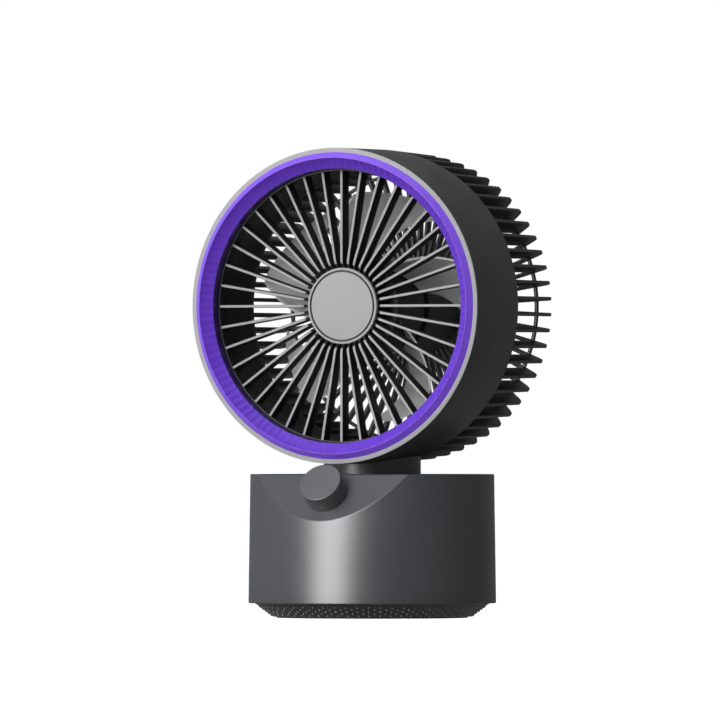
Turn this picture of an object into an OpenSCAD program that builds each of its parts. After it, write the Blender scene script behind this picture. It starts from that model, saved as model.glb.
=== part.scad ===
// Desk fan with a round lit head on an oscillating, tilting neck.
// Millimetres, +Z up, front towards -Y, origin at the centre of the underside.

/* [Base] */
// Diameter of the base at its lower edge
base_d = 126; // [110:1:150]
// Diameter of the base at its top edge
base_top_d = 124; // [108:1:148]
// Height of the base above the table
base_h = 73; // [66:1:90]
// Height of the sloping foot skirt
foot_h = 7.4; // [6:0.2:10]
// Gap between the foot's bottom edge and the base's edge, seen from below
foot_inset = 12.4; // [8:0.2:16]
// Wall of the base shell and of the foot
base_wall = 2.4; // [2:0.1:3.2]
// Thickness of the rubber sheet under the base
pad_t = 1.4; // [1:0.1:2]
// How far the rubber stands out below the foot
pad_proud = 0.6; // [0.4:0.1:0.9]
// Slope of the control face, from horizontal
face_slope = 55; // [50:1:60]
// Distance from the base axis to the top edge of the control face
face_y = 45.8; // [42:0.2:48]

/* [Knob] */
// Diameter of the control knob
knob_d = 22; // [18:0.5:24]
// Height of the control knob above its face
knob_h = 10.2; // [9:0.1:13]
// Distance down the control face from its top edge to the knob axis
knob_down = 12; // [11:0.2:13]

/* [Head] */
// Outer diameter of the round head
head_d = 160; // [150:1:175]
// Length of the closed drum of the head
drum_l = 48.45; // [46:0.05:56]
// Distance from the base axis forward to the drum's front edge
drum_front = 44; // [42:0.5:46]
// Clear height between the base and the head
neck_gap = 5.2; // [5:0.1:8]
// Wall of the drum
head_wall = 2.6; // [2:0.1:3.2]
// Bore of the air duct
duct_d = 139; // [132:1:140]
// Wall of the air duct
duct_wall = 1.6; // [1.2:0.1:2]
// Width of the light grey lip, seen from the front
lip_w = 2.3; // [2:0.1:2.6]
// Width of the lit ring's outer chamfer
chamfer_w = 2.8; // [2:0.1:3.6]
// Depth of the lit ring's inner cone
cone_depth = 5.4; // [4:0.2:6]
// Wall of the lit ring
lit_wall = 1.5; // [1.2:0.1:1.8]

/* [Grilles] */
// Number of spokes in the front grille
spokes = 40; // [30:1:44]
// Width of a spoke
spoke_w = 1.45; // [1.2:0.05:1.6]
// Depth of a spoke from front to back
spoke_depth = 7.5; // [5:0.5:8]
// Distance from the drum's front edge back to the spokes
grille_inset = 7.8; // [7.4:0.1:9]
// Diameter of the round badge in the middle of the front grille
badge_d = 38.6; // [36:0.2:42]
// Number of fins in the rear cage
fins = 60; // [48:6:60]
// Thickness of a fin
fin_t = 1.8; // [1.4:0.1:2]
// How much the fins narrow on radius from the drum to the rear
fin_taper = 1.5; // [0:0.1:3]
// Length of the fins behind the drum
fin_l = 46.5; // [42:0.5:56]
// Depth of the ribs across the rear face
rib_depth = 4.5; // [3:0.5:6]
// How much the rear face bulges
dome_h = 5.5; // [3:0.5:8]

/* [Impeller] */
// Gap between the blade tips and the wall of the duct
tip_gap = 11; // [5:0.5:14]
// Number of blades
blades = 5; // [4:1:6]
// Diameter of the impeller hub
impeller_hub_d = 48; // [46:0.5:50]
// Length of the impeller hub
impeller_hub_l = 30.5; // [28:0.5:32]
// Diameter of the motor shaft
shaft_d = 3; // [2:0.5:4]
// Radial gap between the motor's stator and its magnets
air_gap = 0.4; // [0.3:0.1:1]

/* [Neck] */
// Outer diameter of the neck
neck_d = 49.4; // [46:0.2:52]
// Wall of the neck
neck_wall = 2.5; // [2:0.1:3]
// Depth of the tilt pin below the base's top edge
pin_depth = 13; // [11.5:0.5:14]
// Diameter of the tilt pin
pin_d = 6; // [5:0.5:7]
// Width of the neck's tongue on the tilt pin
tongue_w = 16; // [14:0.5:18]
// Width of each turret ear
ear_w = 4.7; // [4:0.1:6]
// Diameter of the turret spindle
spindle_d = 19.9; // [18:0.1:22]

/* [Drive] */
// Tooth size of the oscillation gears
gear_module = 1; // [1:0.05:1.1]
// Teeth of the turret gear
turret_teeth = 48; // [44:1:52]
// Teeth of the drive pinion
pinion_teeth = 12; // [12:1:14]
// Width of the gears
gear_w = 5; // [4:0.5:5]
// Diameter of the gear motor's can
can_d = 28; // [24:0.5:29]
// Height of the gear motor's can
can_h = 19; // [16:0.5:20]
// Distance from the can's centre to its output shaft
can_offset = 8; // [6:0.5:8.5]
// Diameter of the gear motor's output shaft
out_shaft_d = 5; // [4:0.5:5.5]

/* [Clearances] */
// Radial gap between the neck and the base opening
neck_clear = 1.6; // [1.5:0.1:2.5]
// Radial gap of turning shafts and pins
run_clear = 0.05; // [0.03:0.01:0.08]
// Side and end gap between parts that turn past each other
side_gap = 0.4; // [0.3:0.1:0.6]
// Gap between parts that are pushed together and stay
seat_gap = 0.15; // [0.1:0.05:0.25]
// Gap between the teeth of the two gears
backlash = 0.16; // [0.12:0.02:0.24]

/* [Hidden] */
$fn = 96;
eps = 0.01;

// Screws: radius of the shank, the head and the hole that the shank passes
screw_r = 1.5;
screw_head_r = 2.75;
screw_head_h = 1.8;
screw_hole_r = 1.7;
small_screw_r = 1;
small_head_r = 1.9;
small_head_h = 1.4;

// Base: radii at the seam and the top, floor of the foot
seam_r = base_d / 2;
top_r = base_top_d / 2;
foot_top_r = seam_r - 3.2;
foot_bottom_r = seam_r - foot_inset;
foot_floor = pad_proud + base_wall;
top_t = 2.6;
shell_in = seam_r - base_wall;
shell_top_in = top_r - base_wall;
function shell_r(z) = seam_r + (top_r - seam_r) * (z - foot_h) / (base_h - foot_h);
lip_h = 4;
lip_r = shell_r(foot_h + lip_h) - base_wall - seat_gap;
pad_r = foot_bottom_r - 2;
post_r = 4;
post_at = pad_r - 3.1;
post_bottom = 6;
pilot_r = screw_r;
chassis_z = 38;
chassis_t = 3;
chassis_top = chassis_z + chassis_t;
hanger_r = 3.6;
hanger_at = shell_top_in - 7.6;
hanger_angles = [-20, 70, 110, 200];

// Control face: square to the YZ plane, the knob's axis square to it
knob_y = -face_y - knob_down * cos(face_slope);
knob_z = base_h - knob_down * sin(face_slope);
bush_r = 3.5;
spindle_r = 3;
switch_r = 8;
switch_l = 8;
nut_t = 2;
knob_lift = 0.4;
knob_skin = 2.2;

// Ballast and electronics in the foot
ballast_r = 30;
ballast_t = 8;
standoff_x = 24;
standoff_y = 24;
board_z = 15;
board_t = 1.6;
board_w = 55;
board_front = -28;
inlet_w = 9;
inlet_h = 3.3;
inlet_l = 8;
inlet_z = board_z + board_t + 0.4 + inlet_h / 2;
inlet_mouth_y = shell_r(inlet_z) - 0.63;
board_gap = 1.5;
board_back = inlet_mouth_y - 5.6;
board_max_r = shell_r(board_z + board_t) - base_wall - board_gap;

// Turret: spindle, deck and ears, stacked on the chassis boss
boss_top = chassis_top + 3;
boss_bottom = chassis_z - 4;
boss_r = 14;
bearing_r = spindle_d / 2 + run_clear;
washer_t = 0.9;
deck_z = boss_top + 1;
gear_pitch_r = gear_module * turret_teeth / 2;
gear_seat_r = gear_pitch_r - 4;
pinion_pitch_r = gear_module * pinion_teeth / 2;
centre_distance = gear_pitch_r + pinion_pitch_r;
deck_top = deck_z + gear_w + 1;
ear_in = tongue_w / 2 + 0.3;
ear_out = ear_in + ear_w;
pin_z = base_h - pin_depth;
pin_r = pin_d / 2;
ear_r = pin_r + 4;
cable_r = 5;
clip_t = 1.2;
clip_top = boss_bottom - side_gap;
spindle_bottom = clip_top - clip_t - 2;
pin_end = ear_out + 2.4;

// Gear motor under the chassis, its shaft one centre distance behind the turret
can_y = centre_distance + can_offset;
can_bottom = chassis_z - can_h;
ear_pitch = can_d / 2 + 3.5;
out_shaft_r = out_shaft_d / 2;
can_boss_r = 4.5;

// Head: axis along Y, axial places are world Y values
head_r = head_d / 2;
head_in = head_r - head_wall;
head_z = base_h + neck_gap + head_r;
drum_y0 = -drum_front;
drum_y1 = drum_y0 + drum_l;
duct_r = duct_d / 2;
duct_out = duct_r + duct_wall;
bezel_t = 0.6;
bezel_y = drum_y0 - bezel_t;
lit_r = head_r - lip_w;
bezel_in = lit_r - 1.2;
ridge_r = lit_r - chamfer_w;
ridge_y = bezel_y - chamfer_w;
lit_in_y = ridge_y + cone_depth;
grille_y = drum_y0 + grille_inset;
grille_back = grille_y + spoke_depth;
duct_front = grille_y + 1.3;
flange_t = 3;
flange_y = drum_y1 - flange_t;
stud_r = 3;
stud_at = head_in - stud_r + 0.2;
studs = 6;
led_y = lit_in_y + 3;
led_t = 1.2;
leds = 36;

// Front grille hub and badge
badge_r = badge_d / 2;
badge_y = grille_y + 0.8;
badge_t = 1.6;
cup_r = badge_r - 1.9;
cup_in = cup_r - 4.4;
bend_r = badge_r + 4.7;
bend = 5;

// Rear cage
fin_in = duct_r + 0.4;
rear_y = drum_y1 + fin_l;
corner_r = 4.5;
dome_r = head_r - fin_taper - corner_r;
function dome_y(r) = rear_y + dome_h * (1 - pow(r / dome_r, 2));
ring_top = drum_y1 + 0.6;
pedestal_r = 25;
pedestal_wall = 2.4;
pedestal_y = 16;
hoop_in = fin_in - 1.6;
cap_r = pedestal_r - pedestal_wall - seat_gap;

// Motor: outer rotor inside the impeller hub, places along Y
shaft_r = shaft_d / 2;
hub_r = impeller_hub_d / 2;
hub_wall = 1.6;
hub_y0 = -18.5;
hub_y1 = hub_y0 + impeller_hub_l;
bell_gap = 1;
bell_r = hub_r - hub_wall - bell_gap;
bell_wall = 1;
bell_y0 = -8;
bell_y1 = 10;
magnet_t = 1.2;
magnet_out = bell_r - bell_wall;
magnet_in = magnet_out - magnet_t;
stator_r = magnet_in - air_gap;
stator_y0 = -3;
stator_y1 = 7;
stator_teeth = 9;
tube_r = 5;
bearing_out = 4;
bearing_w = 4;
mount_y = 13;
bore_end = mount_y - 0.4;
motor_screw_at = 14;

// Blades: angles of the front and rear edges at the hub and the tip, seen from
// the front, and the places of both edges along Y
tip_r = duct_r - tip_gap;
blade_root_r = hub_r - hub_wall / 2;
hub_front_a = 194;
tip_front_a = 166.7;
hub_rear_a = 160;
tip_rear_a = 120;
hub_front_y = -14.5;
tip_front_y = -10.6;
hub_rear_y = 8;
tip_rear_y = 15.9;
camber = 2.2;
hub_half_t = 1.5;
tip_half_t = 0.8;
edge_share = 0.35;
blade_steps = 8;

// Saddle of the neck: thickness with its gap, and the gap to the drum
saddle_t = 2.4;
saddle_gap = 0.08;

// Neck screws: places, length, and where their heads seat under the saddle
neck_screw_x = 13;
neck_screw_ys = [-15, -4];
neck_screw_l = 8.4;
neck_seat_z = head_z - sqrt(pow(head_r + saddle_t, 2) - pow(neck_screw_x + screw_head_r, 2));
cable_hole_y = -15;
cable_hole_r = 3.5;

// ------------------------------------------------------------------ helpers

// Puts children, drawn about +Z, on the head's axis: local z is world y
module on_head_axis() {
    translate([0, 0, head_z]) rotate([-90, 0, 0]) children();
}

// Puts children, drawn about +Z, square to the control face at the knob's axis
module on_knob_axis() {
    translate([0, knob_y, knob_z]) rotate([face_slope, 0, 0]) children();
}

// A ring between two radii
module ring(ro, ri, z0, z1) {
    translate([0, 0, z0]) difference() {
        cylinder(r = ro, h = z1 - z0);
        translate([0, 0, -1]) cylinder(r = ri, h = z1 - z0 + 2);
    }
}

// A plate standing on the axis plane, its outline given as [radius, place] points
module radial_plate(outline, t) {
    rotate([90, 0, 0]) linear_extrude(t, center = true) polygon(outline);
}

// A screw standing up, its head's underside at z = 0
module screw_up(length, r, head_r, head_h) {
    cylinder(r = r, h = length);
    translate([0, 0, -head_h]) difference() {
        cylinder(r = head_r, h = head_h);
        translate([0, 0, -eps]) cylinder(r = head_r * 0.45, h = head_h * 0.5, $fn = 6);
    }
}

// The half space in front of the control face, moved back by a depth
module beyond_face(depth) {
    translate([0, -face_y, base_h]) rotate([face_slope, 0, 0])
        translate([-100, -120, -depth]) cube([200, 240, 100]);
}

module at_posts() {
    for (a = [45:90:315]) rotate([0, 0, a]) translate([post_at, 0, 0]) children();
}

module at_hangers() {
    for (a = hanger_angles) rotate([0, 0, a]) translate([hanger_at, 0, 0]) children();
}

module at_standoffs() {
    for (sx = [-1, 1], sy = [-1, 1]) translate([sx * standoff_x, sy * standoff_y, 0]) children();
}

module at_studs() {
    for (k = [0:studs - 1]) rotate([0, 0, k * 360 / studs]) translate([stud_at, 0, 0]) children();
}

module at_neck_screws() {
    for (sx = [-1, 1], y = neck_screw_ys) translate([sx * neck_screw_x, y, 0]) children();
}

module at_motor_screws() {
    for (k = [0:2]) rotate([0, 0, 90 + k * 120]) translate([motor_screw_at, 0, 0]) children();
}

// Involute gear outline with the given tooth count
function involute(a) = tan(a) * 180 / PI - a;
function half_tooth(r, rb, rp, teeth) =
    90 / teeth - backlash / 4 / rp * 180 / PI + involute(20) - involute(acos(min(1, rb / r)));
module gear_outline(teeth) {
    rp = gear_module * teeth / 2;
    rb = rp * cos(20);
    ra = rp + 0.9 * gear_module;
    rf = rp - 1.2 * gear_module;
    rs = max(rb, rf) + eps;
    steps = 4;
    radii = [for (i = [0:steps]) rs + (ra - rs) * i / steps];
    polygon([for (k = [0:teeth - 1]) let (c = k * 360 / teeth) each concat(
        [let (a = c - half_tooth(rs, rb, rp, teeth)) [rf * cos(a), rf * sin(a)]],
        [for (r = radii) let (a = c - half_tooth(r, rb, rp, teeth)) [r * cos(a), r * sin(a)]],
        [for (i = [steps:-1:0]) let (r = radii[i], a = c + half_tooth(r, rb, rp, teeth))
            [r * cos(a), r * sin(a)]],
        [let (a = c + half_tooth(rs, rb, rp, teeth)) [rf * cos(a), rf * sin(a)]])]);
}

// --------------------------------------------------------------------- base

// Foot: sloping skirt, floor, pillars for the base screws and the board
module bottom_cover() {
    color("#2a2a2c") difference() {
        union() {
            difference() {
                translate([0, 0, pad_proud])
                    cylinder(r1 = foot_bottom_r, r2 = foot_top_r, h = foot_h - pad_proud);
                translate([0, 0, foot_floor]) cylinder(r1 = foot_bottom_r - base_wall,
                    r2 = foot_top_r - base_wall, h = foot_h - foot_floor + eps);
            }
            ring(lip_r, lip_r - 2, foot_h - 2.4, foot_h + lip_h);
            at_posts() cylinder(r = post_r + 0.2, h = post_bottom);
            at_standoffs() cylinder(r = 3, h = board_z);
            cylinder(r = 6, h = foot_floor + ballast_t);
        }
        translate([0, 0, -1]) cylinder(r = 200, h = 1 + pad_proud);
        cylinder(r = pad_r + seat_gap, h = pad_t);
        difference() {
            cylinder(r = seam_r, h = foot_h);
            cylinder(r1 = foot_bottom_r - pad_proud * 1.35, r2 = foot_top_r, h = foot_h);
        }
        at_posts() cylinder(r = screw_hole_r, h = 40);
        at_posts() cylinder(r = screw_head_r + 0.35, h = foot_floor + 0.6);
        at_standoffs() translate([0, 0, board_z - 6]) cylinder(r = small_screw_r, h = 20);
        translate([-7, shell_in - 9, foot_h]) cube([14, 20, 20]);
    }
}

// Rubber sheet under the foot, open over the base screws
module anti_slip_pad() {
    color("#1c1c1d") difference() {
        cylinder(r = pad_r, h = pad_t);
        at_posts() translate([0, 0, -1]) cylinder(r = screw_head_r + 0.6, h = 4);
    }
}

// Outer shell with the sloping control face and the opening for the neck
module base_shell() {
    body_h = base_h - foot_h;
    inner_h = body_h - top_t;
    color("#56575b") difference() {
        union() {
            difference() {
                translate([0, 0, foot_h]) cylinder(r1 = seam_r, r2 = top_r, h = body_h);
                beyond_face(0);
                difference() {
                    translate([0, 0, foot_h - eps]) cylinder(r1 = shell_in, r2 = shell_top_in,
                        h = inner_h + eps);
                    beyond_face(top_t);
                }
            }
            intersection() {
                union() {
                    at_posts() translate([0, 0, post_bottom]) cylinder(r = post_r, h = base_h - 8);
                    at_hangers() translate([0, 0, chassis_top])
                        cylinder(r = hanger_r, h = base_h - chassis_top - 2);
                }
                translate([0, 0, post_bottom]) cylinder(r = shell_top_in + 0.5, h = base_h);
            }
        }
        translate([0, 0, base_h - 6]) cylinder(r = neck_d / 2 + neck_clear, h = 20);
        at_posts() translate([0, 0, post_bottom - 1]) cylinder(r = pilot_r, h = 12);
        at_hangers() translate([0, 0, chassis_top - 1]) cylinder(r = pilot_r, h = 10);
        on_knob_axis() translate([0, 0, -10]) cylinder(r = bush_r + 0.1, h = 20);
        translate([0, seam_r - 6, inlet_z]) rotate([-90, 0, 0]) inlet_outline(0.35, 12);
    }
}

// Rounded slot of the power inlet, grown by a margin and run along local z
module inlet_outline(grow, length) {
    r = inlet_h / 2 + grow;
    half = (inlet_w - inlet_h) / 2;
    for (sx = [-1, 1]) translate([sx * half, 0, 0]) cylinder(r = r, h = length, $fn = 48);
    translate([-half, -r, 0]) cube([2 * half, 2 * r, length]);
}

// Four screws up through the foot into the shell's posts
module base_screws() {
    color("silver") at_posts() translate([0, 0, foot_floor + 0.6])
        screw_up(12, screw_r, screw_head_r, screw_head_h);
}

// Steel disc that keeps the fan from tipping
module ballast_plate() {
    color("#8b8d90") difference() {
        translate([0, 0, foot_floor]) cylinder(r = ballast_r, h = ballast_t);
        cylinder(r = 6 + seat_gap, h = 40);
    }
}

// Plate that carries the turret's bearing boss and the gear motor
module chassis_plate() {
    color("#3a3b3d") difference() {
        union() {
            translate([0, 0, chassis_z]) cylinder(r = hanger_at + hanger_r, h = chassis_t);
            translate([0, 0, boss_bottom]) cylinder(r = boss_r, h = boss_top - boss_bottom);
        }
        translate([0, 0, boss_bottom - 1]) cylinder(r = bearing_r, h = 30);
        at_posts() translate([0, 0, chassis_z - 1]) cylinder(r = post_r + 0.4, h = 10);
        at_posts() translate([0, -post_r - 0.4, chassis_z - 1]) cube([40, 2 * post_r + 0.8, 10]);
        at_hangers() translate([0, 0, chassis_z - 1]) cylinder(r = screw_hole_r, h = 10);
        translate([0, centre_distance, chassis_z - 1]) cylinder(r = can_boss_r + 0.2, h = 10);
        for (sx = [-1, 1]) translate([sx * ear_pitch, can_y, chassis_z - 1])
            cylinder(r = small_screw_r, h = 10);
        translate([-11, knob_y - 6, chassis_z - 1]) cube([22, 16, 10]);
    }
}

// Four screws that hang the chassis plate from the shell
module chassis_screws() {
    color("silver") at_hangers() translate([0, 0, chassis_z])
        screw_up(10, screw_r, screw_head_r, screw_head_h);
}

// Circuit board with the driver chips and terminals
module control_board() {
    color("#1f5b3a") difference() {
        union() {
            intersection() {
                translate([-board_w / 2, board_front, board_z])
                    cube([board_w, board_back - board_front, board_t]);
                cylinder(r = board_max_r, h = base_h);
            }
            translate([-8, -6, board_z]) cube([14, 14, board_t + 1.6]);
            translate([-22, 12, board_z]) cube([9, 7, board_t + 2]);
            translate([12, -20, board_z]) cube([8, 12, board_t + 2]);
        }
        at_standoffs() translate([0, 0, board_z - 1]) cylinder(r = small_screw_r + 0.2, h = 10);
        at_posts() translate([0, 0, board_z - 1]) cylinder(r = post_r + board_gap, h = 10);
    }
}

// Power socket: a rounded metal shell with a contact tongue inside
module power_inlet() {
    color("silver") translate([0, inlet_mouth_y - inlet_l, inlet_z]) rotate([-90, 0, 0]) {
        difference() {
            inlet_outline(0, inlet_l);
            translate([0, 0, 0.6]) inlet_outline(-0.35, inlet_l);
        }
        translate([-3.2, -0.35, 0]) cube([6.4, 0.7, inlet_l - 0.8]);
        translate([-4, inlet_h / 2 - 0.3, 0.5]) cube([8, 0.7, 5]);
    }
}

// Speed switch: body behind the control face, bushing through it
module speed_switch() {
    color("#2b3c5a") on_knob_axis() difference() {
        union() {
            translate([0, 0, -top_t - switch_l]) cylinder(r = switch_r, h = switch_l);
            translate([0, 0, -top_t - 1]) cylinder(r = bush_r, h = top_t + 1 + nut_t + 0.8);
        }
        translate([0, 0, -top_t - switch_l + 1.5])
            cylinder(r = spindle_r + run_clear, h = 30);
    }
}

// Nut that clamps the switch to the control face, under the knob
module switch_nut() {
    color("silver") on_knob_axis() difference() {
        cylinder(r = 5.6, h = nut_t, $fn = 6);
        translate([0, 0, -1]) cylinder(r = bush_r, h = nut_t + 2);
    }
}

// Gear motor: round can with two ears, hung under the chassis plate
module gear_motor() {
    color("#b9bbbd") difference() {
        union() {
            translate([0, can_y, can_bottom]) cylinder(r = can_d / 2, h = can_h);
            translate([0, centre_distance, chassis_z - 1]) cylinder(r = can_boss_r, h = 2.4);
            translate([-ear_pitch, can_y - 3.5, chassis_z - 1]) cube([2 * ear_pitch, 7, 1]);
            for (sx = [-1, 1]) translate([sx * ear_pitch, can_y, chassis_z - 1])
                cylinder(r = 3.5, h = 1);
        }
        translate([0, centre_distance, chassis_z - 8])
            cylinder(r = out_shaft_r + run_clear, h = 20);
        for (sx = [-1, 1]) translate([sx * ear_pitch, can_y, chassis_z - 3])
            cylinder(r = small_screw_r + 0.2, h = 6);
    }
}

module gear_motor_screws() {
    color("silver") for (sx = [-1, 1]) translate([sx * ear_pitch, can_y, chassis_z - 1])
        screw_up(4, small_screw_r, small_head_r, small_head_h);
}

// Low friction ring between the bearing boss and the turret deck
module thrust_washer() {
    color("ivory") ring(boss_r, spindle_d / 2 + 0.5, boss_top, boss_top + washer_t);
}

// ------------------------------------------------------------------- turret

// Hollow spindle, deck that seats the gear, and two ears for the tilt pin
module turret() {
    color("#d8d8d2") difference() {
        union() {
            translate([0, 0, spindle_bottom])
                cylinder(r = spindle_d / 2, h = deck_z - spindle_bottom + 1);
            translate([0, 0, deck_z]) cylinder(r = gear_seat_r, h = deck_top - deck_z);
            translate([0, 0, deck_z + gear_w]) cylinder(r = gear_seat_r + 1.5, h = 1);
            for (sx = [-1, 1]) translate([sx * (ear_in + ear_out) / 2, 0, 0]) {
                translate([-ear_w / 2, -ear_r, deck_top - 1])
                    cube([ear_w, 2 * ear_r, pin_z - deck_top + 1]);
                translate([-ear_w / 2, 0, pin_z]) rotate([0, 90, 0])
                    cylinder(r = ear_r, h = ear_w);
            }
        }
        translate([0, 0, spindle_bottom - 1]) cylinder(r = cable_r, h = 40);
        translate([-30, 0, pin_z]) rotate([0, 90, 0]) cylinder(r = pin_r, h = 60);
        ring(spindle_d / 2 + 1, spindle_d / 2 - 1, clip_top - clip_t, clip_top);
    }
}

// Toothed ring on the deck
module turret_gear() {
    color("ivory") translate([0, 0, deck_z]) difference() {
        linear_extrude(gear_w) gear_outline(turret_teeth);
        translate([0, 0, -1]) cylinder(r = gear_seat_r, h = gear_w + 2);
    }
}

// Pin through the ears and the neck's tongue
module tilt_pin() {
    color("silver") translate([-pin_end, 0, pin_z]) rotate([0, 90, 0]) difference() {
        union() {
            cylinder(r = pin_r, h = pin_end + ear_out);
            translate([0, 0, pin_end + ear_out]) cylinder(r = pin_r + 1.6, h = 1.6);
        }
        translate([0, 0, pin_end - ear_out - clip_t - 0.1])
            ring(pin_r + 1, pin_r - 0.5, 0, clip_t);
    }
}

// Clip in the groove at the pin's plain end
module pin_clip() {
    color("#4a4a4c") translate([-ear_out - clip_t - 0.1, 0, pin_z]) rotate([0, 90, 0])
        ring(pin_r + 2, pin_r - 0.5, 0, clip_t);
}

// Clip in the spindle's groove, below the bearing boss
module turret_circlip() {
    color("#4a4a4c") ring(spindle_d / 2 + 2.6, spindle_d / 2 - 1, clip_top - clip_t, clip_top);
}

// -------------------------------------------------------------------- drive

module gear_motor_shaft() {
    color("silver") translate([0, centre_distance, chassis_z - 7])
        cylinder(r = out_shaft_r, h = deck_z + gear_w + 0.6 - chassis_z + 7);
}

// Pinion with a gap facing the turret gear
module drive_pinion() {
    color("ivory") translate([0, centre_distance, deck_z]) difference() {
        rotate([0, 0, 270 + (90 * turret_teeth + 180) / pinion_teeth])
            linear_extrude(gear_w) gear_outline(pinion_teeth);
        translate([0, 0, -1]) cylinder(r = out_shaft_r, h = gear_w + 2);
    }
}

// --------------------------------------------------------------------- neck

// Tube under the head, closed by a saddle that fits the drum; tongue on the pin
module neck() {
    neck_r = neck_d / 2;
    neck_in = neck_r - neck_wall;
    bottom_z = pin_z + 4;
    web_z = pin_z + 9;
    web_t = 2.5;
    color("#2f3032") difference() {
        union() {
            difference() {
                translate([0, 0, bottom_z]) cylinder(r = neck_r,
                    h = head_z - sqrt(head_r * head_r - neck_r * neck_r) - bottom_z);
                translate([0, 0, bottom_z - 1]) cylinder(r = neck_in, h = web_z - bottom_z + 1);
                difference() {
                    translate([0, 0, web_z + web_t]) cylinder(r = neck_in, h = 30);
                    on_head_axis() translate([0, 0, -60]) cylinder(r = head_r + saddle_t, h = 120);
                }
            }
            translate([-tongue_w / 2, 0, pin_z]) rotate([0, 90, 0])
                cylinder(r = ear_r + 0.6, h = tongue_w);
            translate([-tongue_w / 2, -ear_r - 0.6, pin_z])
                cube([tongue_w, 2 * ear_r + 1.2, web_z - pin_z + 1]);
        }
        on_head_axis() translate([0, 0, -60]) cylinder(r = head_r + saddle_gap, h = 120);
        translate([-30, 0, pin_z]) rotate([0, 90, 0]) cylinder(r = pin_r + run_clear, h = 60);
        translate([0, cable_hole_y, web_z - 1]) cylinder(r = cable_hole_r, h = 30);
        at_neck_screws() translate([0, 0, web_z + 1]) cylinder(r = screw_hole_r, h = 30);
        at_neck_screws() translate([0, 0, web_z - 1])
            cylinder(r = screw_head_r + 0.2, h = neck_seat_z - web_z + 1);
    }
}

// Four screws up through the saddle into the drum
module neck_screws() {
    color("silver") at_neck_screws() translate([0, 0, neck_seat_z])
        screw_up(neck_screw_l, screw_r, screw_head_r, screw_head_h);
}

// Friction washers either side of the tongue
module tilt_washers() {
    color("ivory") for (s = [-1, 1])
        translate([s * (tongue_w / 2 + 0.125) - 0.125, 0, pin_z]) rotate([0, 90, 0])
            ring(ear_r - 0.5, pin_r + run_clear, 0, 0.25);
}

// --------------------------------------------------------------------- head

// Closed drum with studs for the cage screws and pads over the neck
module head_shell() {
    color("#3b3b3d") difference() {
        union() {
            on_head_axis() {
                ring(head_r, head_in, drum_y0, drum_y1);
                at_studs() translate([0, 0, led_y + led_t])
                    cylinder(r = stud_r, h = flange_y - led_y - led_t);
            }
            intersection() {
                at_neck_screws() translate([0, 0, base_h]) cylinder(r = 3.4, h = 20);
                on_head_axis() ring(head_r - 1, duct_out + 0.3, drum_y0 + 5, flange_y);
            }
        }
        on_head_axis() at_studs() translate([0, 0, flange_y - 12]) cylinder(r = pilot_r, h = 20);
        at_neck_screws() translate([0, 0, base_h])
            cylinder(r = pilot_r, h = neck_seat_z + neck_screw_l + 0.6 - base_h);
        translate([0, cable_hole_y, base_h]) cylinder(r = cable_hole_r, h = neck_gap + 6.8);
    }
}

// Thin light grey lip round the front edge, with a skirt inside the drum
module front_bezel() {
    color("#b4b4b2") on_head_axis() rotate_extrude() polygon([
        [bezel_in, bezel_y], [head_r, bezel_y], [head_r, drum_y0],
        [head_in - seat_gap, drum_y0], [head_in - seat_gap, led_y + led_t],
        [bezel_in, led_y + led_t]]);
}

// Translucent ring: outer chamfer, ridge, inner cone and short inner wall
module light_ring() {
    diag = lit_wall * sqrt(2);
    lean = atan2(cone_depth, ridge_r - duct_r);
    bend_in = lit_wall * (1 / cos(lean) - sqrt(2)) / (1 + tan(lean));
    cone_back = lit_in_y + lit_wall * (1 / cos(lean) - tan(lean));
    color("#7b4dff") on_head_axis() rotate_extrude() polygon([
        [lit_r, bezel_y], [ridge_r, ridge_y], [duct_r, lit_in_y], [duct_r, duct_front],
        [duct_r + lit_wall, duct_front], [duct_r + lit_wall, cone_back],
        [ridge_r + bend_in, ridge_y + bend_in + diag],
        [ridge_r + bezel_y - ridge_y - diag, bezel_y]]);
}

// Ring circuit board with a row of lamps facing the lit ring
module led_board() {
    color("white") on_head_axis() {
        ring(bezel_in - 0.1, duct_out + 0.1, led_y, led_y + led_t);
        for (k = [0:leds - 1]) rotate([0, 0, (k + 0.5) * 360 / leds])
            translate([stud_at - 1.25, -1.25, led_y - 0.9]) cube([2.5, 2.5, 0.9]);
    }
}

// Front grille: outer ring, radial spokes that curve back round the badge, hub cup
module front_grille() {
    spoke = concat(
        [[cup_r - 2, grille_back], [duct_r - 0.5, grille_back], [duct_r - 0.5, grille_y],
         [bend_r, grille_y]],
        [for (t = [15:15:60]) [bend_r - bend * sin(t), grille_y + bend * (1 - cos(t))]],
        [[cup_r - 2, grille_y + 2.8]]);
    color("#8e8f91") on_head_axis() {
        for (k = [0:spokes - 1]) rotate([0, 0, k * 360 / spokes]) radial_plate(spoke, spoke_w);
        ring(duct_r, duct_r - 1, grille_y - 0.1, grille_back + 0.3);
        ring(cup_r, cup_in, grille_y + 3, grille_back + 0.3);
        translate([0, 0, grille_back - 2]) cylinder(r = cup_in + 1, h = 1.8);
    }
}

// Round badge pressed into the hub cup, with a thin groove near its edge
module hub_badge() {
    color("#b2b2b4") on_head_axis() difference() {
        union() {
            translate([0, 0, badge_y]) cylinder(r = badge_r, h = badge_t);
            translate([0, 0, badge_y]) cylinder(r = cup_in, h = grille_back - 2 - badge_y);
        }
        ring(badge_r - 1.2, badge_r - 1.9, badge_y - 1, badge_y + 0.6);
    }
}

// Smooth tube from the grille to the rear cage
module air_duct() {
    color("#1d1d1e") on_head_axis() ring(duct_out, duct_r, duct_front, flange_y);
}

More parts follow.
